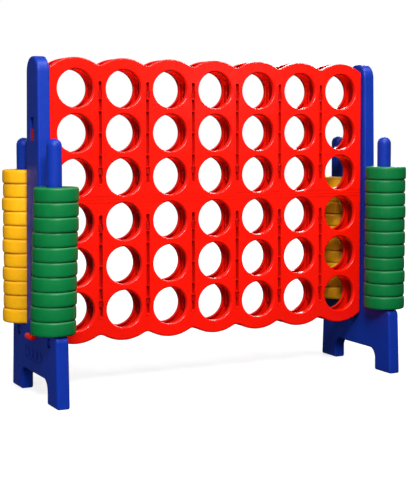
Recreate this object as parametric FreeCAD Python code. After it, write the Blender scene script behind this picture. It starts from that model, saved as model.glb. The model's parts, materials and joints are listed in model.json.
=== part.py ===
import FreeCAD, Part
import math
import os

# Giant four in a row for the garden. Millimetres, +Z up, X along the seven columns, Y from the front to
# the back. The origin is on the ground, in the middle of the set.

V = FreeCAD.Vector

# ---- Playing rings ---------------------------------------------------------------------------------
RING_OUTER = 134.0
RING_THICKNESS = 42.5
RING_OUTER_ROUNDING = 6.0
RING_BORE_ROUNDING = 4.0
RING_STACK_GAP = 0.4
RING_SETTLE = 2.0
RING_SETTLE_TURN = 137.5
RINGS_LEFT_GREEN = 10
RINGS_LEFT_YELLOW = 11
RINGS_RIGHT_GREEN = 11
RINGS_RIGHT_YELLOW = 10

# ---- Storage pegs ----------------------------------------------------------------------------------
PEG_DIAMETER = 45.0
PEG_LENGTH = 570.0
PEG_RING_PLAY = 7.0
PEG_UPRIGHT_PLAY = 7.0
PEG_TENON_DIAMETER = 27.0
PEG_TENON_LENGTH = 52.0
PEG_TENON_CLEARANCE = 0.3
PEG_NUB_WIDTH = 18.0
PEG_NUB_HEIGHT = 14.0
PEG_NUB_RECESS = 2.5
PEG_WINDOW_WIDTH = 24.0
PEG_WINDOW_HEIGHT = 28.0
PEG_WINDOW_DROP = 12.0

# ---- Board -----------------------------------------------------------------------------------------
COLUMNS = 7
ROWS_PER_HALF = 3
BAR_TOP = 185.0
RING_SIDE_PLAY = 5.5
RING_ROW_PLAY = 1.0
RING_FACE_PLAY = 2.25
HOLE_LEDGE = 9.0
DIVIDER_THICKNESS = 12.0
END_WALL_THICKNESS = 10.0
PANEL_DEPTH = 14.5
PANEL_WALL = 3.0
PANEL_ROUNDING = 5.0
PANEL_CORNER = 12.0
SEAM_EXTRA = 2.0
SEAM_GAP = 0.6
SEAM_LINE_OFFSET = 9.0
SEAM_LINE_WIDTH = 2.0
SEAM_LINE_DEPTH = 1.2
TOP_MARGIN = 93.5
TOP_SCALLOP = 22.0
BOTTOM_MARGIN = 97.5
BOTTOM_SCALLOP = 21.0
VALLEY_RADIUS = 25.0
DIVIDER_TOP_DROP = 8.0

# ---- Grooves, ribs and snaps where the dividers meet the panels ------------------------------------
GROOVE_WIDTH = 11.0
GROOVE_OVERRUN = 22.0
GROOVE_BORDER = 3.5
GROOVE_BORDER_HEIGHT = 1.0
RIB_THICKNESS = 2.5
RIB_RECESS = 2.0
SNAP_WIDTH = 15.0
SNAP_HEIGHT = 20.0
SNAP_OFFSET = 117.0
SNAP_CLEARANCE = 0.4
SNAP_RECESS = 6.0

# ---- Tongues that line up the two halves -----------------------------------------------------------
TONGUE_THICKNESS = 5.0
TONGUE_WIDTH = 30.0
TONGUE_LENGTH = 8.0
TONGUE_CLEARANCE = 0.3

# ---- Legs ------------------------------------------------------------------------------------------
LEG_THICKNESS = 40.0
LEG_GAP = 3.0
LEG_ROUNDING = 7.0
LEG_RISE = 1.0
UPRIGHT_TOP_WIDTH = 100.0
UPRIGHT_TOP_RADIUS = 46.0
UPRIGHT_BASE_WIDTH = 132.0
UPRIGHT_BASE_RADIUS = 6.0
SHOULDER_HEIGHT = 209.5
SHOULDER_RADIUS = 18.0
SHOULDER_OVERHANG = 60.0
FOOT_OVERHANG = 70.0
FOOT_PAD_LENGTH = 90.0
ARCH_HEIGHT = 70.0
ARCH_RADIUS = 32.0
TOE_RADIUS = 4.0
EMBLEM_WIDTH = 150.0
EMBLEM_HEIGHT = 40.0
EMBLEM_DEPTH = 2.0
EMBLEM_MIDDLE_HEIGHT = 127.5
EMBLEM_DISCS = 4
EMBLEM_DISC_DIAMETER = 26.0

# ---- Hooks that hang the board in the legs ---------------------------------------------------------
HOOK_WIDTH = 32.0
HOOK_HEIGHT = 35.0
HOOK_NECK_WIDTH = 20.0
HOOK_NECK_LENGTH = 10.0
HOOK_CLEARANCE = 0.4
HOOK_RECESS = 2.0
HOOK_DROP = 35.0
HOOK_ABOVE_SEAM = 199.0
HOOK_BELOW_SEAM = 251.0

# ---- Release bar under the columns -----------------------------------------------------------------
BAR_THICKNESS = 4.0
BAR_CLEARANCE = 0.5
BAR_RAIL_OVERLAP = 6.0
BAR_RING_PLAY = 2.0
BAR_TAIL_WIDTH = 40.0
BAR_KNOB_ENGAGEMENT = 12.0
KNOB_WIDTH = 58.0
KNOB_HEIGHT = 17.0
KNOB_LENGTH = 19.0
KNOB_GAP = 1.0
KNOB_ROUNDING = 7.0
KNOB_END_SHARE = 0.98

# ---- How far a cut runs past the face it opens, and how closely two places count as the same ------
OVERCUT = 1.0
SAME_PLACE = 1e-3

# ---- Sizes that follow from the ones above ---------------------------------------------------------
COLUMN_PITCH = RING_OUTER + 2 * RING_SIDE_PLAY + DIVIDER_THICKNESS
ROW_PITCH = RING_OUTER + RING_ROW_PLAY
CAVITY = RING_THICKNESS + 2 * RING_FACE_PLAY
HOLE_RADIUS = RING_OUTER / 2 - HOLE_LEDGE
RING_BORE = PEG_DIAMETER + 2 * PEG_RING_PLAY
FACE_Y = CAVITY / 2 + PANEL_DEPTH
BOARD_HALF_WIDTH = (COLUMNS * COLUMN_PITCH - DIVIDER_THICKNESS) / 2 + END_WALL_THICKNESS
LEG_INNER_X = BOARD_HALF_WIDTH + LEG_GAP
LEG_OUTER_X = LEG_INNER_X + LEG_THICKNESS
LEG_MIDDLE_X = (LEG_INNER_X + LEG_OUTER_X) / 2
PEG_Y = UPRIGHT_BASE_WIDTH / 2 + PEG_UPRIGHT_PLAY + RING_OUTER / 2
FOOT_HALF = PEG_Y + FOOT_OVERHANG
SHOULDER_HALF = PEG_Y + SHOULDER_OVERHANG
MIDDLE_ROW = SEAM_EXTRA / 2 + ROW_PITCH * (ROWS_PER_HALF / 2)
LAST_ROW = SEAM_EXTRA / 2 + ROW_PITCH * (ROWS_PER_HALF - 0.5)
GROOVE_START = SEAM_EXTRA / 2 + ROW_PITCH / 2 - GROOVE_OVERRUN
GROOVE_END = LAST_ROW + GROOVE_OVERRUN
GRID_MIDDLE_HEIGHT = BAR_TOP + LAST_ROW + RING_OUTER / 2
LEG_TOP_HEIGHT = GRID_MIDDLE_HEIGHT + LAST_ROW + TOP_MARGIN + LEG_RISE
UPPER_HOOK_BOTTOM = GRID_MIDDLE_HEIGHT + HOOK_ABOVE_SEAM - HOOK_HEIGHT / 2
LOWER_HOOK_BOTTOM = GRID_MIDDLE_HEIGHT - HOOK_BELOW_SEAM - HOOK_HEIGHT / 2
BAR_BOTTOM = BAR_TOP - BAR_THICKNESS
RELEASE_TRAVEL = COLUMN_PITCH / 2
BAR_WEB = COLUMN_PITCH - RING_OUTER - 2 * BAR_RING_PLAY
DIVIDER_BOTTOM = BAR_TOP + BAR_CLEARANCE

UPPER = {"sign": 1, "margin": TOP_MARGIN, "scallop": TOP_SCALLOP}
LOWER = {"sign": -1, "margin": BOTTOM_MARGIN, "scallop": BOTTOM_SCALLOP}


def box(x0, x1, y0, y1, z0, z1):
    """A box between two planes on each axis, given in either order."""
    low = V(min(x0, x1), min(y0, y1), min(z0, z1))
    return Part.makeBox(abs(x1 - x0), abs(y1 - y0), abs(z1 - z0), low)


def rounded_wire(corners, place):
    """A closed outline of straight runs and tangent arcs. Each corner is (u, v, radius)."""
    edges = []
    ends = []
    count = len(corners)
    for i, (u, v, radius) in enumerate(corners):
        corner = V(u, v, 0)
        before = V(*corners[i - 1][:2], 0).sub(corner).normalize()
        after = V(*corners[(i + 1) % count][:2], 0).sub(corner).normalize()
        if radius == 0:
            ends.append((corner, None, corner))
            continue
        half_turn = before.getAngle(after) / 2
        reach = radius / math.tan(half_turn)
        inward = (before + after).normalize()
        middle = corner + inward * (radius / math.sin(half_turn) - radius)
        ends.append((corner + before * reach, middle, corner + after * reach))
    for i, (start, middle, end) in enumerate(ends):
        following = ends[(i + 1) % count][0]
        if middle is not None:
            edges.append(Part.Arc(place(start), place(middle), place(end)).toShape())
        if end.distanceToPoint(following) > 1e-6:
            edges.append(Part.LineSegment(place(end), place(following)).toShape())
    return Part.Wire(edges)


def prism(wire, direction):
    return Part.Face(wire).extrude(direction)


def upright_slot(x, width, z0, z1, y0, depth):
    """A round-ended slot that stands upright in the board's face, cut from y0 by depth along Y."""
    half = width / 2
    corners = [(x - half, z0, half * 0.98), (x + half, z0, half * 0.98)]
    corners += [(x + half, z1, half * 0.98), (x - half, z1, half * 0.98)]
    wire = rounded_wire(corners, lambda p: V(p.x, y0, p.y))
    return prism(wire, V(0, depth, 0))


def column_x(index):
    return (index - (COLUMNS - 1) / 2) * COLUMN_PITCH


def divider_xs():
    return [column_x(i) + COLUMN_PITCH / 2 for i in range(COLUMNS - 1)]


def height(side, from_seam):
    return GRID_MIDDLE_HEIGHT + side["sign"] * from_seam


def row_heights(side):
    return [height(side, SEAM_EXTRA / 2 + ROW_PITCH * (i + 0.5)) for i in range(ROWS_PER_HALF)]


def valley_reach(side):
    """Distance from the seam to a valley between two scallops."""
    return LAST_ROW + side["margin"] - side["scallop"]


def lobe_arc(side, inset):
    """Radius of a scallop's lobe, and its centre's distance from the seam."""
    half_pitch = COLUMN_PITCH / 2
    crown = (half_pitch**2 + side["scallop"] ** 2) / (2 * side["scallop"]) - VALLEY_RADIUS
    return crown - inset, LAST_ROW + side["margin"] - crown


def pocket_end_x(side, reach):
    """How far out the hollow between the panels is still open, at a distance from the seam."""
    lobe, lobe_centre = lobe_arc(side, PANEL_WALL)
    return column_x(COLUMNS - 1) + math.sqrt(lobe**2 - (reach - lobe_centre) ** 2)


def panel_outline(side, inset, y):
    """A half's outline: straight seam and ends, and one scallop for each column. inset shrinks it."""
    half_pitch = COLUMN_PITCH / 2
    lobe, lobe_centre = lobe_arc(side, inset)
    valley = VALLEY_RADIUS + inset
    valley_centre = valley_reach(side) + VALLEY_RADIUS
    lean = math.atan2(half_pitch, valley_centre - lobe_centre)
    end_x = BOARD_HALF_WIDTH - inset
    end_reach = lobe_centre + math.sqrt(lobe**2 - (end_x - column_x(COLUMNS - 1)) ** 2)
    seam = SEAM_GAP / 2 + inset

    def at(x, reach):
        return V(x, y, height(side, reach))

    start = at(-end_x, end_reach)
    edges = [Part.LineSegment(at(-end_x, seam), start).toShape()]
    for i in range(COLUMNS):
        x = column_x(i)
        last = i == COLUMNS - 1
        touch = at(x + lobe * math.sin(lean), lobe_centre + lobe * math.cos(lean))
        stop = at(end_x, end_reach) if last else touch
        edges.append(Part.Arc(start, at(x, lobe_centre + lobe), stop).toShape())
        if last:
            continue
        dip = at(x + half_pitch, valley_centre - valley)
        start = at(x + COLUMN_PITCH - lobe * math.sin(lean), lobe_centre + lobe * math.cos(lean))
        edges.append(Part.Arc(touch, dip, start).toShape())
    edges.append(Part.LineSegment(at(end_x, end_reach), at(end_x, seam)).toShape())
    edges.append(Part.LineSegment(at(end_x, seam), at(-end_x, seam)).toShape())
    return Part.Wire(edges)


def hole_cylinders(side, radius, y, depth):
    xs = [column_x(i) for i in range(COLUMNS)]
    return [Part.makeCylinder(radius, depth, V(x, y, z), V(0, 1, 0)) for x in xs for z in row_heights(side)]


def snap_reaches():
    return [MIDDLE_ROW - SNAP_OFFSET, MIDDLE_ROW + SNAP_OFFSET]


def rib_reaches():
    """Thin ribs across a groove: at the middle row, between rows, and beside the snap windows."""
    beside_snap = SNAP_OFFSET - SNAP_HEIGHT / 2 - RIB_THICKNESS
    steps = [0, ROW_PITCH / 2, beside_snap]
    return sorted({MIDDLE_ROW + s for s in steps} | {MIDDLE_ROW - s for s in steps})


def panel(side):
    """The front panel of a half: a thin skin with rims round its holes, open towards the rings."""
    front = -FACE_Y
    skin = prism(panel_outline(side, 0, front), V(0, PANEL_DEPTH, 0))
    ends = [e for e in skin.Edges if is_end_corner(e)]
    skin = skin.makeFillet(PANEL_CORNER, ends)
    skin = skin.cut(hole_cylinders(side, HOLE_RADIUS, front - OVERCUT, PANEL_DEPTH + 2 * OVERCUT))
    rims = [e for e in skin.Edges if on_front(e, front)]
    skin = skin.makeFillet(PANEL_ROUNDING, rims)

    z0 = height(side, GROOVE_START)
    z1 = height(side, GROOVE_END)
    low, high = min(z0, z1), max(z0, z1)
    border = GROOVE_WIDTH / 2 + GROOVE_BORDER
    raised = [
        upright_slot(x, 2 * border, low - GROOVE_BORDER, high + GROOVE_BORDER,
                     front - GROOVE_BORDER_HEIGHT, PANEL_DEPTH / 2)
        for x in divider_xs()
    ]
    skin = skin.fuse(raised)

    pocket_y = front + PANEL_WALL
    pocket = prism(panel_outline(side, PANEL_WALL, pocket_y), V(0, PANEL_DEPTH, 0))
    kept = hole_cylinders(side, HOLE_RADIUS + PANEL_WALL, pocket_y - OVERCUT, PANEL_DEPTH + 2 * OVERCUT)
    kept += [
        upright_slot(x, SNAP_WIDTH + 2 * PANEL_WALL, low - PANEL_WALL, high + PANEL_WALL,
                     pocket_y - OVERCUT, PANEL_DEPTH + 2 * OVERCUT)
        for x in divider_xs()
    ]
    pocket = pocket.cut(kept)

    cut_front = front - GROOVE_BORDER_HEIGHT - OVERCUT
    cut_back = front + PANEL_DEPTH + OVERCUT
    grooves = []
    for x in divider_xs():
        groove = upright_slot(x, GROOVE_WIDTH, low, high, cut_front, cut_back - cut_front)
        windows = []
        for reach in snap_reaches():
            z = height(side, reach)
            windows.append(box(x - SNAP_WIDTH / 2, x + SNAP_WIDTH / 2, cut_front, cut_back,
                               z - SNAP_HEIGHT / 2, z + SNAP_HEIGHT / 2))
        ribs = []
        for reach in rib_reaches():
            z = height(side, reach)
            ribs.append(box(x - GROOVE_WIDTH, x + GROOVE_WIDTH, front + RIB_RECESS, cut_back + OVERCUT,
                            z - RIB_THICKNESS / 2, z + RIB_THICKNESS / 2))
        grooves.append(groove.fuse(windows).cut(ribs))

    line_z = height(side, SEAM_GAP / 2 + SEAM_LINE_OFFSET)
    past_end = BOARD_HALF_WIDTH + OVERCUT
    seam_line = box(-past_end, past_end, front - OVERCUT, front + SEAM_LINE_DEPTH,
                    line_z, line_z + side["sign"] * SEAM_LINE_WIDTH)
    return skin.cut([pocket, seam_line] + grooves)


def is_end_corner(edge):
    """The two edges where the last scallops meet the board's ends."""
    box_ = edge.BoundBox
    along_y = box_.YLength > PANEL_DEPTH / 2
    at_end = abs(abs(box_.Center.x) - BOARD_HALF_WIDTH) < SAME_PLACE
    away = abs(box_.Center.z - GRID_MIDDLE_HEIGHT) > ROW_PITCH
    return along_y and at_end and away


def on_front(edge, front):
    """Edges in the panel's outer face, apart from the straight edge along the seam."""
    box_ = edge.BoundBox
    in_face = box_.YLength < SAME_PLACE and abs(box_.Center.y - front) < SAME_PLACE
    at_seam = box_.ZLength < SAME_PLACE
    return in_face and not at_seam


def half_turn(shape):
    """The back panel is the front one turned round."""
    turned = shape.copy()
    turned.rotate(V(0, 0, 0), V(0, 0, 1), 180)
    return turned


def divider_reach(side):
    """How far a divider runs from the seam: near the valley at the top, just above the bar below."""
    if side["sign"] > 0:
        return valley_reach(side) - DIVIDER_TOP_DROP
    return GRID_MIDDLE_HEIGHT - DIVIDER_BOTTOM


def divider_wall(side, x, thickness):
    """A strip between the panels, with a tongue or its socket at the seam."""
    half = thickness / 2
    wall = box(x - half, x + half, -CAVITY / 2, CAVITY / 2,
               height(side, SEAM_GAP / 2), height(side, divider_reach(side)))
    grow = 0 if side["sign"] > 0 else TONGUE_CLEARANCE
    tongue = box(x - TONGUE_THICKNESS / 2 - grow, x + TONGUE_THICKNESS / 2 + grow,
                 -TONGUE_WIDTH / 2 - grow, TONGUE_WIDTH / 2 + grow,
                 GRID_MIDDLE_HEIGHT + SEAM_GAP, GRID_MIDDLE_HEIGHT - TONGUE_LENGTH - grow)
    return wall.fuse(tongue) if side["sign"] > 0 else wall.cut(tongue)


def divider(side, x):
    """A divider between two columns, with the snaps that hold both panels."""
    wall = divider_wall(side, x, DIVIDER_THICKNESS)
    reach_y = FACE_Y - SNAP_RECESS
    half = SNAP_WIDTH / 2 - SNAP_CLEARANCE
    tall = SNAP_HEIGHT / 2 - SNAP_CLEARANCE
    snaps = []
    for reach in snap_reaches():
        z = height(side, reach)
        snaps.append(box(x - half, x + half, CAVITY / 2, reach_y, z - tall, z + tall))
        snaps.append(box(x - half, x + half, -CAVITY / 2, -reach_y, z - tall, z + tall))
        snaps.append(box(x - DIVIDER_THICKNESS / 2, x + DIVIDER_THICKNESS / 2, -CAVITY / 2, CAVITY / 2,
                         z - tall, z + tall))
    return wall.fuse(snaps).removeSplitter()


def hook(x_sign, z_bottom):
    """A T-headed hook on the board's end: its neck drops into the leg's narrow slot."""
    start = BOARD_HALF_WIDTH
    neck_end = LEG_INNER_X + HOOK_NECK_LENGTH
    neck = box(x_sign * start, x_sign * (neck_end + HOOK_CLEARANCE), -HOOK_NECK_WIDTH / 2, HOOK_NECK_WIDTH / 2,
               z_bottom, z_bottom + HOOK_HEIGHT)
    head = box(x_sign * (neck_end + HOOK_CLEARANCE), x_sign * (LEG_OUTER_X - HOOK_RECESS),
               -HOOK_WIDTH / 2, HOOK_WIDTH / 2, z_bottom, z_bottom + HOOK_HEIGHT)
    return neck.fuse(head)


def end_wall(side, x_sign, hook_bottom):
    x = x_sign * (BOARD_HALF_WIDTH - END_WALL_THICKNESS / 2)
    wall = divider_wall(side, x, END_WALL_THICKNESS)
    return wall.fuse(hook(x_sign, hook_bottom)).removeSplitter()


def hook_slot(z_bottom):
    """The keyhole in a leg: wide above, narrow at the inner face below."""
    wide = HOOK_WIDTH / 2 + HOOK_CLEARANCE
    narrow = HOOK_NECK_WIDTH / 2 + HOOK_CLEARANCE
    top = z_bottom + HOOK_HEIGHT + HOOK_DROP
    inside = -LEG_INNER_X + OVERCUT
    outside = -LEG_OUTER_X - OVERCUT
    entry = box(inside, outside, -wide, wide, z_bottom + HOOK_HEIGHT, top)
    pocket = box(-LEG_INNER_X - HOOK_NECK_LENGTH, outside, -wide, wide, z_bottom, top)
    neck = box(inside, -LEG_OUTER_X + OVERCUT, -narrow, narrow, z_bottom, top)
    return entry.fuse([pocket, neck])


def leg_profile():
    """The leg seen from its side: feet, arch, shoulders for the rings, and a tapered upright."""
    top = UPRIGHT_TOP_WIDTH / 2
    base = UPRIGHT_BASE_WIDTH / 2
    arch = FOOT_HALF - FOOT_PAD_LENGTH
    right = [
        (arch, ARCH_HEIGHT, ARCH_RADIUS),
        (arch, 0, TOE_RADIUS),
        (FOOT_HALF, 0, TOE_RADIUS),
        (SHOULDER_HALF, SHOULDER_HEIGHT, SHOULDER_RADIUS),
        (base, SHOULDER_HEIGHT, UPRIGHT_BASE_RADIUS),
        (top, LEG_TOP_HEIGHT, UPRIGHT_TOP_RADIUS),
    ]
    left = [(-y, z, radius) for y, z, radius in reversed(right)]
    return rounded_wire(right + left, lambda p: V(-LEG_OUTER_X, p.x, p.y))


def emblem():
    """A plain sunk panel with a row of four discs left standing in it."""
    outer = -LEG_OUTER_X
    low = EMBLEM_MIDDLE_HEIGHT - EMBLEM_HEIGHT / 2
    sunk = box(outer - OVERCUT, outer + EMBLEM_DEPTH, -EMBLEM_WIDTH / 2, EMBLEM_WIDTH / 2, low, low + EMBLEM_HEIGHT)
    pitch = EMBLEM_WIDTH / EMBLEM_DISCS
    discs = [
        Part.makeCylinder(EMBLEM_DISC_DIAMETER / 2, EMBLEM_DEPTH + 2 * OVERCUT,
                          V(outer - 2 * OVERCUT, (i - (EMBLEM_DISCS - 1) / 2) * pitch, EMBLEM_MIDDLE_HEIGHT), V(1, 0, 0))
        for i in range(EMBLEM_DISCS)
    ]
    return sunk.cut(discs)


def leg():
    """The left leg; the right one is its mirror image."""
    body = prism(leg_profile(), V(LEG_THICKNESS, 0, 0))
    rims = [e for e in body.Edges if e.BoundBox.XLength < SAME_PLACE]
    body = body.makeFillet(LEG_ROUNDING, rims)
    outside = -LEG_OUTER_X - OVERCUT
    cuts = [hook_slot(UPPER_HOOK_BOTTOM), hook_slot(LOWER_HOOK_BOTTOM)]
    for y in (-PEG_Y, PEG_Y):
        socket_depth = PEG_TENON_LENGTH + PEG_TENON_CLEARANCE
        radius = PEG_TENON_DIAMETER / 2 + PEG_TENON_CLEARANCE
        foot = V(-LEG_MIDDLE_X, y, SHOULDER_HEIGHT - socket_depth)
        cuts.append(Part.makeCylinder(radius, socket_depth + OVERCUT, foot))
        window_top = SHOULDER_HEIGHT - PEG_WINDOW_DROP
        cuts.append(box(-LEG_MIDDLE_X, outside, y - PEG_WINDOW_WIDTH / 2, y + PEG_WINDOW_WIDTH / 2,
                        window_top - PEG_WINDOW_HEIGHT, window_top))
    tail = BAR_TAIL_WIDTH / 2 + BAR_CLEARANCE
    cuts.append(box(-LEG_INNER_X + OVERCUT, outside, -tail, tail,
                    BAR_BOTTOM - BAR_CLEARANCE, BAR_TOP + BAR_CLEARANCE))
    cuts.append(emblem())
    return body.cut(cuts)


def peg(x_sign, y):
    """A domed peg with a tenon that plugs into the shoulder and a nub that shows in its window."""
    radius = PEG_DIAMETER / 2
    tenon = PEG_TENON_DIAMETER / 2
    tip = SHOULDER_HEIGHT + PEG_LENGTH
    bend = math.sqrt(0.5) * radius
    at = [V(0, 0, SHOULDER_HEIGHT - PEG_TENON_LENGTH), V(tenon, 0, SHOULDER_HEIGHT - PEG_TENON_LENGTH),
          V(tenon, 0, SHOULDER_HEIGHT), V(radius, 0, SHOULDER_HEIGHT), V(radius, 0, tip - radius)]
    edges = [Part.LineSegment(a, b).toShape() for a, b in zip(at, at[1:])]
    edges.append(Part.Arc(at[-1], V(bend, 0, tip - radius + bend), V(0, 0, tip)).toShape())
    edges.append(Part.LineSegment(V(0, 0, tip), at[0]).toShape())
    turned = Part.Face(Part.Wire(edges)).revolve(V(0, 0, 0), V(0, 0, 1), 360)
    turned.translate(V(x_sign * LEG_MIDDLE_X, y, 0))
    nub_z = SHOULDER_HEIGHT - PEG_WINDOW_DROP - PEG_WINDOW_HEIGHT / 2
    nub = box(x_sign * LEG_MIDDLE_X, x_sign * (LEG_OUTER_X - PEG_NUB_RECESS),
              y - PEG_NUB_WIDTH / 2, y + PEG_NUB_WIDTH / 2, nub_z - PEG_NUB_HEIGHT / 2, nub_z + PEG_NUB_HEIGHT / 2)
    return turned.fuse(nub).removeSplitter()


def release_bar():
    """A ladder under the columns: a web holds each column's lowest ring, and its windows let them fall."""
    wide = CAVITY / 2 + BAR_RAIL_OVERLAP
    narrow = CAVITY / 2 - BAR_CLEARANCE
    start = -BOARD_HALF_WIDTH + PANEL_WALL + RELEASE_TRAVEL + BAR_CLEARANCE
    rail_start = -pocket_end_x(LOWER, GRID_MIDDLE_HEIGHT - BAR_BOTTOM) + RELEASE_TRAVEL + BAR_CLEARANCE
    end = column_x(COLUMNS - 1) + BAR_WEB / 2
    ladder = box(rail_start, end, -wide, wide, BAR_BOTTOM, BAR_TOP)
    first_web = box(start, rail_start + BAR_CLEARANCE, -narrow, narrow, BAR_BOTTOM, BAR_TOP)
    tail_end = -LEG_OUTER_X - KNOB_GAP - BAR_KNOB_ENGAGEMENT
    web_edge = column_x(0) + BAR_WEB / 2
    tail = box(tail_end, web_edge, -BAR_TAIL_WIDTH / 2, BAR_TAIL_WIDTH / 2, BAR_BOTTOM, BAR_TOP)
    window_half = CAVITY / 2 - RING_FACE_PLAY / 2
    windows = [
        box(column_x(i) + BAR_WEB / 2, column_x(i + 1) - BAR_WEB / 2, -window_half, window_half,
            BAR_BOTTOM - OVERCUT, BAR_TOP + OVERCUT)
        for i in range(COLUMNS - 1)
    ]
    return ladder.fuse([tail, first_web]).cut(windows).removeSplitter()


def release_knob():
    """An oval pull on the end of the bar."""
    inner = -LEG_OUTER_X - KNOB_GAP
    middle = (BAR_TOP + BAR_BOTTOM) / 2
    half = KNOB_HEIGHT / 2
    bend = KNOB_END_SHARE * half
    right = [(KNOB_WIDTH / 2, middle - half, bend), (KNOB_WIDTH / 2, middle + half, bend)]
    left = [(-KNOB_WIDTH / 2, middle + half, bend), (-KNOB_WIDTH / 2, middle - half, bend)]
    oval = rounded_wire(right + left, lambda p: V(inner, p.x, p.y))
    body = prism(oval, V(-KNOB_LENGTH, 0, 0))
    outer_rim = [e for e in body.Edges if e.BoundBox.XMax < inner - KNOB_LENGTH / 2]
    body = body.makeFillet(KNOB_ROUNDING, outer_rim)
    pocket = box(inner + OVERCUT, inner - BAR_KNOB_ENGAGEMENT, -BAR_TAIL_WIDTH / 2, BAR_TAIL_WIDTH / 2,
                 BAR_BOTTOM, BAR_TOP)
    return body.cut(pocket)


def ring():
    """A playing ring lying flat, with its underside at z = 0."""
    outer = RING_OUTER / 2
    bore = RING_BORE / 2
    a = RING_BORE_ROUNDING
    b = RING_OUTER_ROUNDING
    corners = [(bore, 0, a), (outer, 0, b), (outer, RING_THICKNESS, b), (bore, RING_THICKNESS, a)]
    wire = rounded_wire(corners, lambda p: V(p.x, 0, p.y))
    return Part.Face(wire).revolve(V(0, 0, 0), V(0, 0, 1), 360)


def settled(i):
    """How far a stacked ring lies off its peg's middle, outwards and to the back."""
    turn = math.radians(RING_SETTLE_TURN * i)
    return RING_SETTLE * math.cos(turn), RING_SETTLE * math.sin(turn)


def stack(colour, side_name, x_sign, y, count):
    """The rings on one peg, named from the bottom one up."""
    plain = ring()
    named = {}
    for i in range(count):
        one = plain.copy()
        z = SHOULDER_HEIGHT + RING_STACK_GAP + i * (RING_THICKNESS + RING_STACK_GAP)
        outwards, backwards = settled(i)
        one.translate(V(x_sign * (LEG_MIDDLE_X + outwards), y + backwards, z))
        named[f"{colour}_ring_{side_name}_{i + 1:02d}"] = one
    return named


def everything():
    pieces = {}
    for name, side in (("upper", UPPER), ("lower", LOWER)):
        front = panel(side)
        pieces[f"board_{name}_front"] = front
        pieces[f"board_{name}_back"] = half_turn(front)
        pieces[f"{name}_dividers"] = Part.makeCompound([divider(side, x) for x in divider_xs()])
    left_leg = leg()
    pieces["left_leg"] = left_leg
    pieces["right_leg"] = left_leg.mirror(V(0, 0, 0), V(1, 0, 0))
    for side_name, x_sign in (("left", -1), ("right", 1)):
        pieces[f"upper_end_wall_{side_name}"] = end_wall(UPPER, x_sign, UPPER_HOOK_BOTTOM)
        pieces[f"lower_end_wall_{side_name}"] = end_wall(LOWER, x_sign, LOWER_HOOK_BOTTOM)
        pieces[f"{side_name}_front_peg"] = peg(x_sign, -PEG_Y)
        pieces[f"{side_name}_back_peg"] = peg(x_sign, PEG_Y)
    pieces["release_bar"] = release_bar()
    pieces["release_knob"] = release_knob()
    pieces.update(stack("green", "left", -1, -PEG_Y, RINGS_LEFT_GREEN))
    pieces.update(stack("yellow", "left", -1, PEG_Y, RINGS_LEFT_YELLOW))
    pieces.update(stack("green", "right", 1, -PEG_Y, RINGS_RIGHT_GREEN))
    pieces.update(stack("yellow", "right", 1, PEG_Y, RINGS_RIGHT_YELLOW))
    return pieces


os.makedirs("parts", exist_ok=True)
for node, shape in everything().items():
    shape.exportStep(f"parts/{node}.step")
    sound = all(s.isValid() for s in shape.Solids)
    print(node, len(shape.Solids), "solids", round(shape.Volume / 1e6, 4), "litres", "valid" if sound else "INVALID")
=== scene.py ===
"""Giant four in a row: the moulded rings, the plastics of every piece, and a plain studio round the set."""

import json
import math

import bmesh
import bpy
from bpy.props import FloatProperty, FloatVectorProperty, IntProperty, PointerProperty
from bpy.types import Operator, Panel, PropertyGroup
from mathutils import Matrix, Vector


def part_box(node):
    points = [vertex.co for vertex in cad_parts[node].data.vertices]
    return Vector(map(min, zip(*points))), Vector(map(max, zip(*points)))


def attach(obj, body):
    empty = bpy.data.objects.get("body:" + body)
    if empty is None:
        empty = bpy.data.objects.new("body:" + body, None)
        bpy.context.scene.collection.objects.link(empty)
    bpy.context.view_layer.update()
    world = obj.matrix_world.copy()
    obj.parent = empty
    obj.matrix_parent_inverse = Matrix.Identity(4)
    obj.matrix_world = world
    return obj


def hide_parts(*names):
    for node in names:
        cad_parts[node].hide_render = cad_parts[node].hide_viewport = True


bl_info = {
    "name": "Giant four in a row",
    "version": (1, 0, 0),
    "blender": (4, 5, 0),
    "location": "3D View > Sidebar > Four in a row",
    "description": "Finishes the board, legs, pegs, release and rings of a giant four in a row",
    "category": "Object",
}

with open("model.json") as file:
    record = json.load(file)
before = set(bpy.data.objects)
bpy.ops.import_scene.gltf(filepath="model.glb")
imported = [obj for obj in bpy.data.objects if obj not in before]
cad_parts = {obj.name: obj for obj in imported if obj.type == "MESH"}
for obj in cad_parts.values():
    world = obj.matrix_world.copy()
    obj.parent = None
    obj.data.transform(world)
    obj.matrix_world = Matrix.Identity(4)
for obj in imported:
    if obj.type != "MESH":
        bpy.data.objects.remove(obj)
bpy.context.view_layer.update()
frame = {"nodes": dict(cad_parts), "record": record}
NODES = frame["nodes"]
BODY_OF = {node: body for body, nodes in frame["record"]["behaviour"]["bodies"].items() for node in nodes}

BOARD_NODES = ("board_upper_front", "board_upper_back", "board_lower_front", "board_lower_back")
WALL_NODES = (
    "upper_dividers", "lower_dividers",
    "upper_end_wall_left", "upper_end_wall_right", "lower_end_wall_left", "lower_end_wall_right",
)
LEG_NODES = ("left_leg", "right_leg")
PEG_NODES = ("left_front_peg", "left_back_peg", "right_front_peg", "right_back_peg")
GREEN_RINGS = sorted(node for node in NODES if node.startswith("green_ring"))
YELLOW_RINGS = sorted(node for node in NODES if node.startswith("yellow_ring"))

# How far along X the foot and the top of a leaning stack lie, as shares of the lean.
STACK_LEANS = {"green_ring_left": (-1.0, 1.0), "green_ring_right": (0.7, 1.0)}

# The free space all round a peg in a ring that is centred on it, in metres.
RING_PLAY = 0.007

# How far each ring is turned from the one before, in radians, so that no two lie alike.
RING_TURN = 2.4

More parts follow.
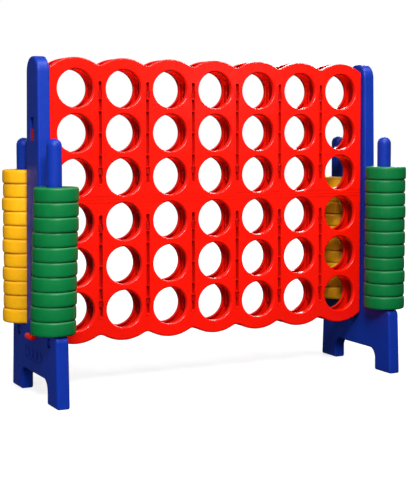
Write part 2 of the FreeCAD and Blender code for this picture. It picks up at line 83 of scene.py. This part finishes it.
# What sets each kind of moulding apart: the shine and roughness that it follows, how much rougher it is, its
# grain's size and height as shares of the finish's, the height of its ripples in metres, the shade of its
# clouds, and how much its edges are rubbed.
MOULDINGS = {
    "red": {
        "shine": "board_shine", "roughness": "gloss_roughness", "rougher": 0.0,
        "grain_size": 1.0, "grain_height": 0.25, "ripple_height": 0.0012, "shade": 0.93, "wear": 0.0,
    },
    # Painted shade: the board's red made darker for the dividers and end walls, so the grooves and the holes
    # look deep.
    "inner_red": {
        "shine": "matt_shine", "roughness": "satin_roughness", "rougher": 0.0,
        "grain_size": 1.0, "grain_height": 0.25, "ripple_height": 0.0012, "shade": 0.93, "wear": 0.0,
    },
    "blue": {
        "shine": "matt_shine", "roughness": "satin_roughness", "rougher": 0.0,
        "grain_size": 1.0, "grain_height": 1.0, "ripple_height": 0.0015, "shade": 0.86, "wear": 0.0,
    },
    "green": {
        "shine": "matt_shine", "roughness": "satin_roughness", "rougher": 0.0,
        "grain_size": 1.0, "grain_height": 1.0, "ripple_height": 0.0010, "shade": 0.84, "wear": 0.4,
    },
    "yellow": {
        "shine": "matt_shine", "roughness": "satin_roughness", "rougher": 0.08,
        "grain_size": 1.6, "grain_height": 5.0, "ripple_height": 0.0010, "shade": 0.86, "wear": 0.3,
    },
}

# Where each softbox stands, what it points at, its width and height, and whether it shows in glossy surfaces.
SOFTBOXES = {
    "key": ((-1.2, -3.2, 2.9), (-0.1, 0.0, 0.6), (1.5, 1.0), True),
    "edge": ((-2.0, -1.0, 0.35), (-0.62, 0.0, 0.15), (0.4, 0.5), False),
    "top": ((0.3, -0.9, 3.0), (0.0, 0.0, 0.8), (3.2, 0.5), True),
    "back": ((2.6, 3.2, 2.2), (0.0, 0.0, 0.5), (1.8, 1.4), True),
    "glint": ((1.75, -3.46, 1.13), (0.1, 0.0, 0.98), (0.5, 0.15), True),
}

FLOOR_RADIUS = 30.0
WHITE = (1.0, 1.0, 1.0)


# ---- Sizes and colours that a user may change ------------------------------------------------------

class FourRowColours(PropertyGroup):
    """Colours of the mouldings."""

    red: FloatVectorProperty(
        name="Red", description="Board panels, release bar and knob",
        subtype="COLOR", size=3, min=0, max=1, default=(0.62, 0.0044, 0.0008),
    )
    # Painted shade: a darker copy of the board's red, for the dividers and end walls deep in the grooves and
    # behind the holes.
    inner_red: FloatVectorProperty(
        name="Inner red", description="Dividers and end walls, deep in the grooves and behind the holes",
        subtype="COLOR", size=3, min=0, max=1, default=(0.30, 0.0012, 0.0006),
    )
    blue: FloatVectorProperty(
        name="Blue", description="Legs and pegs",
        subtype="COLOR", size=3, min=0, max=1, default=(0.0025, 0.0190, 0.210),
    )
    green: FloatVectorProperty(
        name="Green", description="First player's rings",
        subtype="COLOR", size=3, min=0, max=1, default=(0.0008, 0.104, 0.025),
    )
    yellow: FloatVectorProperty(
        name="Yellow", description="Second player's rings",
        subtype="COLOR", size=3, min=0, max=1, default=(0.66, 0.318, 0.004),
    )


class FourRowFinish(PropertyGroup):
    """Texture of the mouldings."""

    board_shine: FloatProperty(
        name="Board shine", description="Strength of the reflections on the glossy mouldings",
        min=0, max=1, default=0.22, subtype="FACTOR",
    )
    matt_shine: FloatProperty(
        name="Leg shine", description="Strength of the reflections on the blow mouldings",
        min=0, max=1, default=0.15, subtype="FACTOR",
    )
    gloss_roughness: FloatProperty(
        name="Board roughness", description="Roughness of the glossy injection mouldings",
        min=0.05, max=1, default=0.24, subtype="FACTOR",
    )
    satin_roughness: FloatProperty(
        name="Leg roughness", description="Roughness of the blow mouldings",
        min=0.05, max=1, default=0.42, subtype="FACTOR",
    )
    grain_size: FloatProperty(
        name="Grain size", description="Size of one grain of the mould's texture",
        min=0.0005, max=0.02, default=0.0022, unit="LENGTH",
    )
    grain_height: FloatProperty(
        name="Grain height", description="Height of the mould's texture",
        min=0, max=0.002, default=0.00012, unit="LENGTH",
    )


class FourRowRing(PropertyGroup):
    """Shape of a playing ring beyond its plain sizes."""

    rounding: FloatProperty(
        name="Edge rounding", description="Radius of the outer edges",
        min=0.001, max=0.015, default=0.0058, unit="LENGTH",
    )
    crown: FloatProperty(
        name="Side crown", description="How far the edges stand back from the middle of the side",
        min=0, max=0.005, default=0.0009, unit="LENGTH",
    )
    waviness: FloatProperty(
        name="Waviness", description="How uneven the blow moulding comes out",
        min=0, max=0.004, default=0.0009, unit="LENGTH",
    )
    segments: IntProperty(
        name="Segments", description="Faces round a ring", min=24, max=256, default=112,
    )
    lean: FloatProperty(
        name="Stack lean", description="How far a stack leans in its play, at its top and bottom",
        min=0, max=0.006, default=0.006, unit="LENGTH",
    )


class FourRowStage(PropertyGroup):
    """Floor and lights."""

    floor_colour: FloatVectorProperty(
        name="Floor", description="Colour of the floor",
        subtype="COLOR", size=3, min=0, max=1, default=(0.28, 0.28, 0.28),
    )
    key_power: FloatProperty(
        name="Key light", description="Power of the large light above the front",
        min=0, default=270, unit="POWER",
    )
    edge_power: FloatProperty(
        name="Edge light", description="Power of the low light on the left",
        min=0, default=16, unit="POWER",
    )
    top_power: FloatProperty(
        name="Top light", description="Power of the long light overhead",
        min=0, default=120, unit="POWER",
    )
    back_power: FloatProperty(
        name="Back light", description="Power of the soft light behind the set",
        min=0, default=110, unit="POWER",
    )
    glint_power: FloatProperty(
        name="Glint", description="Power of the small light that the top of the board reflects",
        min=0, default=1.6, unit="POWER",
    )
    sky_strength: FloatProperty(
        name="Fill", description="Strength of the even light from all round",
        min=0, max=4, default=0.19,
    )


# ---- Node trees ------------------------------------------------------------------------------------

class Amount:
    """A number from a node's socket, so that maths on it reads as a plain expression."""

    def __init__(self, web, socket):
        self.web = web
        self.socket = socket

    def __add__(self, other):
        return self.web.maths("ADD", self, other)

    def __radd__(self, other):
        return self.web.maths("ADD", other, self)

    def __sub__(self, other):
        return self.web.maths("SUBTRACT", self, other)

    def __rsub__(self, other):
        return self.web.maths("SUBTRACT", other, self)

    def __mul__(self, other):
        return self.web.maths("MULTIPLY", self, other)

    def __rmul__(self, other):
        return self.web.maths("MULTIPLY", other, self)

    def __truediv__(self, other):
        return self.web.maths("DIVIDE", self, other)

    def __rtruediv__(self, other):
        return self.web.maths("DIVIDE", other, self)


class Web:
    """A node tree of any kind, filled through one method."""

    def __init__(self, tree):
        self.tree = tree
        self.tree.nodes.clear()

    def node(self, kind, settings=None, sockets=None):
        """Adds any node: its settings first, then the values or links of its sockets."""
        made = self.tree.nodes.new(kind)
        for key, value in (settings or {}).items():
            setattr(made, key, value)
        for key, value in (sockets or {}).items():
            if isinstance(value, Amount):
                value = value.socket
            if isinstance(value, bpy.types.NodeSocket):
                self.tree.links.new(value, made.inputs[key])
            else:
                made.inputs[key].default_value = value
        return made

    def maths(self, operation, first, second):
        made = self.node("ShaderNodeMath", {"operation": operation}, {0: first, 1: second})
        return Amount(self, made.outputs[0])

    def length(self, vector):
        made = self.node("ShaderNodeVectorMath", {"operation": "LENGTH"}, {0: vector})
        return Amount(self, made.outputs["Value"])


# ---- Finishes --------------------------------------------------------------------------------------

class FinishWeb(Web):
    """The node tree of one material."""

    def __init__(self, name):
        self.material = bpy.data.materials.new(name)
        self.material.use_nodes = True
        super().__init__(self.material.node_tree)

    def blend(self, factor, low, high):
        """A colour between two others."""
        made = self.node(
            "ShaderNodeMix", {"data_type": "RGBA", "clamp_factor": True}, {0: factor, 6: low, 7: high},
        )
        return made.outputs[2]

    def noise(self, coords, scale, detail, roughness=0.5):
        made = self.node(
            "ShaderNodeTexNoise", {"noise_dimensions": "3D"},
            {"Vector": coords, "Scale": scale, "Detail": detail, "Roughness": roughness},
        )
        return Amount(self, made.outputs["Fac"])

    def band(self, amount, low, high):
        """0 below low, 1 above high, smooth between them."""
        made = self.node(
            "ShaderNodeMapRange", {"interpolation_type": "SMOOTHSTEP"},
            {"Value": amount, "From Min": low, "From Max": high},
        )
        return Amount(self, made.outputs["Result"])

    def bump(self, height, distance, under=None):
        sockets = {"Height": height, "Distance": distance, "Strength": 1.0}
        if under is not None:
            sockets["Normal"] = under
        return self.node("ShaderNodeBump", {}, sockets).outputs["Normal"]

    def surface(self, sockets):
        """Ends the tree in a Principled surface."""
        shader = self.node("ShaderNodeBsdfPrincipled", {}, sockets)
        self.node("ShaderNodeOutputMaterial", {}, {"Surface": shader.outputs["BSDF"]})


def opaque(colour, lightness=1.0):
    """A colour with its alpha, made lighter or darker."""
    return (*(min(1.0, channel * lightness) for channel in colour), 1.0)


def plastic(kind):
    """A through-coloured moulding: cloudy tint, fine grain, slight ripples, and paler rubbed edges."""
    name = kind.replace("_", " ") + " moulding"
    known = bpy.data.materials.get(name)
    if known:
        return known
    mould = MOULDINGS[kind]
    finish = bpy.context.scene.four_row_finish
    colour = getattr(bpy.context.scene.four_row_colours, kind)
    grain_size = finish.grain_size * mould["grain_size"]
    grain_height = finish.grain_height * mould["grain_height"]
    base_roughness = getattr(finish, mould["roughness"]) + mould["rougher"]

    web = FinishWeb(name)
    coords = web.node("ShaderNodeTexCoord").outputs["Object"]
    cloud = web.noise(coords, scale=3.0, detail=4.0, roughness=0.55)
    fleck = web.noise(coords, scale=55.0, detail=3.0, roughness=0.6)
    grain = web.noise(coords, scale=1.0 / grain_size, detail=2.0, roughness=0.55)
    ripple = web.noise(coords, scale=16.0, detail=1.0, roughness=0.4)

    # The clouds darken the colour a little, and a rubbed edge pales it towards white.
    tint = web.band(cloud * 0.75 + fleck * 0.25, low=0.36, high=0.64)
    body = web.blend(tint, opaque(colour, mould["shade"]), opaque(colour))
    pointed = Amount(web, web.node("ShaderNodeNewGeometry").outputs["Pointiness"])
    rubbed = web.band(pointed + fleck * 0.02, low=0.53, high=0.60) * mould["wear"]
    pale = [channel + (1.0 - channel) * 0.16 for channel in colour]
    web.surface({
        "Base Color": web.blend(rubbed, body, opaque(pale)),
        "Roughness": (fleck - 0.5) * 0.10 + (cloud - 0.5) * 0.12 + base_roughness,
        "Normal": web.bump(grain, grain_height, under=web.bump(ripple, mould["ripple_height"])),
        "IOR": 1.5,
        "Specular IOR Level": getattr(finish, mould["shine"]),
    })
    return web.material


def finish_nodes(names, material):
    """Gives CAD nodes their finish."""
    for name in names:
        slots = NODES[name].data.materials
        if not slots:
            slots.append(material)
        for index in range(len(slots)):
            slots[index] = material


# ---- Geometry Nodes --------------------------------------------------------------------------------

RING_INPUTS = {
    "Outer Radius": "NodeSocketFloat",
    "Bore Radius": "NodeSocketFloat",
    "Thickness": "NodeSocketFloat",
    "Rounding": "NodeSocketFloat",
    "Crown": "NodeSocketFloat",
    "Waviness": "NodeSocketFloat",
    "Segments": "NodeSocketInt",
    "Seed": "NodeSocketFloat",
    "Finish": "NodeSocketMaterial",
}


def ring_shaper():
    """The tree of a playing ring: a rounded section swept round a circle, crowned and slightly uneven."""
    known = bpy.data.node_groups.get("playing ring")
    if known:
        return known
    tree = bpy.data.node_groups.new("playing ring", "GeometryNodeTree")
    tree.interface.new_socket("Geometry", in_out="OUTPUT", socket_type="NodeSocketGeometry")
    for name, kind in RING_INPUTS.items():
        tree.interface.new_socket(name, in_out="INPUT", socket_type=kind)
    web = Web(tree)
    given = web.node("NodeGroupInput").outputs
    outer, bore, thickness, crown, waviness = (
        Amount(web, given[name]) for name in ("Outer Radius", "Bore Radius", "Thickness", "Crown", "Waviness")
    )

    # A rounded rectangle, swept round the circle through the middle of the ring's wall.
    middle = (outer + bore) * 0.5
    path = web.node(
        "GeometryNodeCurvePrimitiveCircle", {}, {"Resolution": given["Segments"], "Radius": middle},
    )
    section = web.node(
        "GeometryNodeCurvePrimitiveQuadrilateral", {}, {"Width": outer - bore, "Height": thickness},
    )
    rounded = web.node(
        "GeometryNodeFilletCurve", {"mode": "POLY"},
        {"Curve": section.outputs["Curve"], "Radius": given["Rounding"], "Count": 7},
    )
    even = web.node(
        "GeometryNodeResampleCurve", {"mode": "LENGTH"},
        {"Curve": rounded.outputs["Curve"], "Length": 0.0030},
    )
    upright = web.node("GeometryNodeSetCurveNormal", {"mode": "Z_UP"}, {"Curve": path.outputs["Curve"]})
    swept = web.node(
        "GeometryNodeCurveToMesh", {},
        {"Curve": upright.outputs["Curve"], "Profile Curve": even.outputs["Curve"], "Fill Caps": False},
    )

    # The outer side goes in towards the edges, and a little more or less from place to place.
    place = web.node("GeometryNodeInputPosition").outputs["Position"]
    parts = web.node("ShaderNodeSeparateXYZ", {}, {"Vector": place}).outputs
    flat = web.node(
        "ShaderNodeCombineXYZ", {}, {"X": parts["X"], "Y": parts["Y"], "Z": 0.0},
    ).outputs["Vector"]
    outwards = web.node("ShaderNodeVectorMath", {"operation": "NORMALIZE"}, {0: flat}).outputs["Vector"]
    outside = Amount(web, web.node(
        "ShaderNodeMapRange", {}, {"Value": web.length(flat), "From Min": middle, "From Max": outer},
    ).outputs["Result"])
    level = Amount(web, parts["Z"]) / (thickness * 0.5)
    wobble = Amount(web, web.node(
        "ShaderNodeTexNoise", {"noise_dimensions": "4D"},
        {"Vector": place, "W": given["Seed"], "Scale": 22.0, "Detail": 1.0},
    ).outputs["Fac"])
    inwards = (level * level * crown + wobble * waviness) * outside
    offset = web.node(
        "ShaderNodeVectorMath", {"operation": "SCALE"}, {0: outwards, "Scale": inwards * -1.0},
    ).outputs["Vector"]
    shaped = web.node("GeometryNodeSetPosition", {}, {"Geometry": swept.outputs["Mesh"], "Offset": offset})
    smooth = web.node("GeometryNodeSetShadeSmooth", {}, {"Geometry": shaped.outputs["Geometry"]})
    real = web.node("GeometryNodeRealizeInstances", {}, {"Geometry": smooth.outputs["Geometry"]})
    coloured = web.node(
        "GeometryNodeSetMaterial", {}, {"Geometry": real.outputs["Geometry"], "Material": given["Finish"]},
    )
    web.node("NodeGroupOutput", {}, {"Geometry": coloured.outputs["Geometry"]})
    return tree


def grown_mesh(name, tree, values):
    """The mesh that a Geometry Nodes tree makes from the given inputs."""
    holder = bpy.data.objects.new(name + "_seed", bpy.data.meshes.new(name + "_seed"))
    bpy.context.scene.collection.objects.link(holder)
    modifier = holder.modifiers.new("shape", "NODES")
    modifier.node_group = tree
    for item in tree.interface.items_tree:
        if item.in_out == "INPUT" and item.name in values:
            modifier[item.identifier] = values[item.name]
    bpy.context.view_layer.update()
    evaluated = holder.evaluated_get(bpy.context.evaluated_depsgraph_get())
    mesh = bpy.data.meshes.new_from_object(evaluated)
    bpy.data.objects.remove(holder)
    mesh.name = name
    return mesh


def tidy_normals(mesh):
    """Closes the seams and turns every face outwards."""
    work = bmesh.new()
    work.from_mesh(mesh)
    bmesh.ops.remove_doubles(work, verts=work.verts, dist=1e-6)
    bmesh.ops.recalc_face_normals(work, faces=work.faces)
    for face in work.faces:
        face.smooth = True
    work.to_mesh(mesh)
    work.free()


def show(name, mesh, body, slot, node):
    """Puts a finished mesh in the scene, on its body, in place of a CAD node."""
    piece = bpy.data.objects.new(name, mesh)
    bpy.context.scene.collection.objects.link(piece)
    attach(piece, body)
    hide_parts(node)


# ---- The pieces ------------------------------------------------------------------------------------

class FOURROW_OT_board(Operator):
    """Finish the red board: its four panels, and the dividers and end walls in a darker red that is painted
    shade
    """

    bl_idname = "four_row.board"
    bl_label = "Board"

    def execute(self, context):
        finish_nodes(BOARD_NODES, plastic("red"))
        # The dividers and end walls get the darker red, which is painted shade in the grooves and the holes.
        finish_nodes(WALL_NODES, plastic("inner_red"))
        return {"FINISHED"}


class FOURROW_OT_release(Operator):
    """Finish the release bar and its knob"""

    bl_idname = "four_row.release"
    bl_label = "Release bar"

    def execute(self, context):
        finish_nodes(("release_bar", "release_knob"), plastic("red"))
        return {"FINISHED"}


class FOURROW_OT_legs(Operator):
    """Finish the blue legs"""

    bl_idname = "four_row.legs"
    bl_label = "Legs"

    def execute(self, context):
        finish_nodes(LEG_NODES, plastic("blue"))
        return {"FINISHED"}


class FOURROW_OT_pegs(Operator):
    """Finish the storage pegs"""

    bl_idname = "four_row.pegs"
    bl_label = "Pegs"

    def execute(self, context):
        finish_nodes(PEG_NODES, plastic("blue"))
        return {"FINISHED"}


def ring_middle(node, lean):
    """Where the middle of a ring lies: as in its CAD solid, or pushed along X in a stack that leans."""
    low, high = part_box(node)
    middle = (low + high) / 2
    stack, number = node.rsplit("_", 1)
    if stack in STACK_LEANS:
        foot, top = STACK_LEANS[stack]
        count = sum(1 for other in NODES if other.startswith(stack))
        height = (int(number) - 1) / (count - 1)
        peg_low, peg_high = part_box(stack.split("_")[2] + "_front_peg")
        middle.x = (peg_low.x + peg_high.x) / 2 + lean * (foot + (top - foot) * height)
    return middle


class FOURROW_OT_rings(Operator):
    """Mould the green and yellow rings"""

    bl_idname = "four_row.rings"
    bl_label = "Rings"

    def execute(self, context):
        shape = context.scene.four_row_ring
        tree = ring_shaper()
        peg_low, peg_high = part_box(PEG_NODES[0])
        for seed, node in enumerate(GREEN_RINGS + YELLOW_RINGS):
            kind = "green" if node in GREEN_RINGS else "yellow"
            low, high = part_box(node)
            mesh = grown_mesh(node + "_moulding", tree, {
                "Outer Radius": (high.x - low.x) / 2,
                "Bore Radius": (peg_high.x - peg_low.x) / 2 + RING_PLAY,
                "Thickness": high.z - low.z,
                "Rounding": shape.rounding,
                "Crown": shape.crown,
                "Waviness": shape.waviness,
                "Segments": shape.segments,
                "Seed": float(seed),
                "Finish": plastic(kind),
            })
            tidy_normals(mesh)
            turn = Matrix.Rotation(seed * RING_TURN, 4, "Z")
            mesh.transform(Matrix.Translation(ring_middle(node, shape.lean)) @ turn)
            show(node + "_moulding", mesh, BODY_OF[node], kind + "_plastic", node)
        return {"FINISHED"}


# ---- Stage -----------------------------------------------------------------------------------------

def softbox(name, power):
    """A rectangular light that points at a target."""
    place, target, size, reflected = SOFTBOXES[name]
    lamp = bpy.data.lights.new(name, "AREA")
    lamp.shape = "RECTANGLE"
    lamp.size, lamp.size_y = size
    lamp.energy = power
    stand = bpy.data.objects.new(name, lamp)
    bpy.context.scene.collection.objects.link(stand)
    stand.location = place
    stand.rotation_euler = (Vector(target) - Vector(place)).to_track_quat("-Z", "Y").to_euler()
    stand.visible_glossy = reflected


def studio_sky(strength):
    """Even light from above and all round, weaker from below, seen as a white backdrop."""
    world = bpy.data.worlds.new("studio")
    world.use_nodes = True
    web = Web(world.node_tree)
    direction = web.node("ShaderNodeTexCoord").outputs["Generated"]
    height = web.node("ShaderNodeSeparateXYZ", {}, {"Vector": direction}).outputs["Z"]
    fade = web.node("ShaderNodeMapRange", {}, {
        "Value": height, "From Min": -0.5, "From Max": 0.4, "To Min": strength * 0.15, "To Max": strength,
    })
    fill = web.node("ShaderNodeBackground", {}, {"Color": opaque(WHITE), "Strength": fade.outputs["Result"]})
    seen = web.node("ShaderNodeBackground", {}, {"Color": opaque(WHITE), "Strength": 1.0})
    straight = web.node("ShaderNodeLightPath").outputs["Is Camera Ray"]
    choice = web.node("ShaderNodeMixShader", {}, {
        "Fac": straight, 1: fill.outputs["Background"], 2: seen.outputs["Background"],
    })
    web.node("ShaderNodeOutputWorld", {}, {"Surface": choice.outputs["Shader"]})
    bpy.context.scene.world = world


def floor_finish(colour):
    """Matt, very slightly mottled paper that glows, and more so far from the set."""
    web = FinishWeb("studio paper")
    coords = web.node("ShaderNodeTexCoord").outputs["Object"]
    mottle = web.noise(coords, scale=1.4, detail=3.0)
    far = web.band(web.length(coords), low=1.2, high=5.0)
    web.surface({
        "Base Color": web.blend(mottle, opaque(colour, 0.985), opaque(colour)),
        "Roughness": 0.9,
        "Specular IOR Level": 0.2,
        "Emission Color": web.blend(far, opaque(WHITE, 0.73), opaque(WHITE)),
        "Emission Strength": 1.0,
    })
    return web.material


def round_floor(radius):
    """A large plain disc on the ground."""
    mesh = bpy.data.meshes.new("floor")
    work = bmesh.new()
    bmesh.ops.create_circle(work, cap_ends=True, segments=96, radius=radius)
    work.to_mesh(mesh)
    work.free()
    floor = bpy.data.objects.new("floor", mesh)
    bpy.context.scene.collection.objects.link(floor)
    return floor


def studio_camera():
    """The camera, to the left of the front and a little below the top of the board."""
    lens = bpy.data.cameras.new("camera")
    lens.sensor_width = 36.0
    lens.lens = 90.69
    lens.shift_y = -0.104
    camera = bpy.data.objects.new("camera", lens)
    bpy.context.scene.collection.objects.link(camera)
    camera.location = (-1.7528, -3.4635, 0.8140)
    camera.rotation_euler = (math.radians(90.0 - 3.012), 0.0, math.radians(-26.625))
    bpy.context.scene.camera = camera


class FOURROW_OT_stage(Operator):
    """Set up the floor, the lights and the camera"""

    bl_idname = "four_row.stage"
    bl_label = "Stage"

    def execute(self, context):
        stage = context.scene.four_row_stage
        floor = round_floor(FLOOR_RADIUS)
        floor.data.materials.append(floor_finish(stage.floor_colour))
        floor.visible_glossy = False
        floor.visible_diffuse = False
        studio_sky(stage.sky_strength)
        for name in SOFTBOXES:
            softbox(name, getattr(stage, name + "_power"))
        studio_camera()
        context.scene.view_settings.view_transform = "Standard"
        return {"FINISHED"}


# ---- Sidebar and running order ---------------------------------------------------------------------

OPERATORS = (
    FOURROW_OT_board, FOURROW_OT_release, FOURROW_OT_legs, FOURROW_OT_pegs, FOURROW_OT_rings,
    FOURROW_OT_stage,
)
GROUPS = {
    "four_row_colours": FourRowColours,
    "four_row_finish": FourRowFinish,
    "four_row_ring": FourRowRing,
    "four_row_stage": FourRowStage,
}


class FOURROW_PT_sidebar(Panel):
    """Lists the sizes, the colours and the steps."""

    bl_idname = "FOURROW_PT_sidebar"
    bl_label = "Four in a row"
    bl_space_type = "VIEW_3D"
    bl_region_type = "UI"
    bl_category = "Four in a row"

    def draw(self, context):
        for group in GROUPS:
            box = self.layout.box()
            settings = getattr(context.scene, group)
            for name in settings.__annotations__:
                box.prop(settings, name)
        for operator in OPERATORS:
            self.layout.operator(operator.bl_idname)


def register():
    for name, group in GROUPS.items():
        bpy.utils.register_class(group)
        setattr(bpy.types.Scene, name, PointerProperty(type=group))
    for item in OPERATORS + (FOURROW_PT_sidebar,):
        bpy.utils.register_class(item)


def unregister():
    for item in reversed(OPERATORS + (FOURROW_PT_sidebar,)):
        bpy.utils.unregister_class(item)
    for name, group in reversed(GROUPS.items()):
        delattr(bpy.types.Scene, name)
        bpy.utils.unregister_class(group)


def main():
    register()
    bpy.ops.four_row.board()
    bpy.ops.four_row.release()
    bpy.ops.four_row.legs()
    bpy.ops.four_row.pegs()
    bpy.ops.four_row.rings()
    bpy.ops.four_row.stage()


if __name__ == "__main__":
    main()
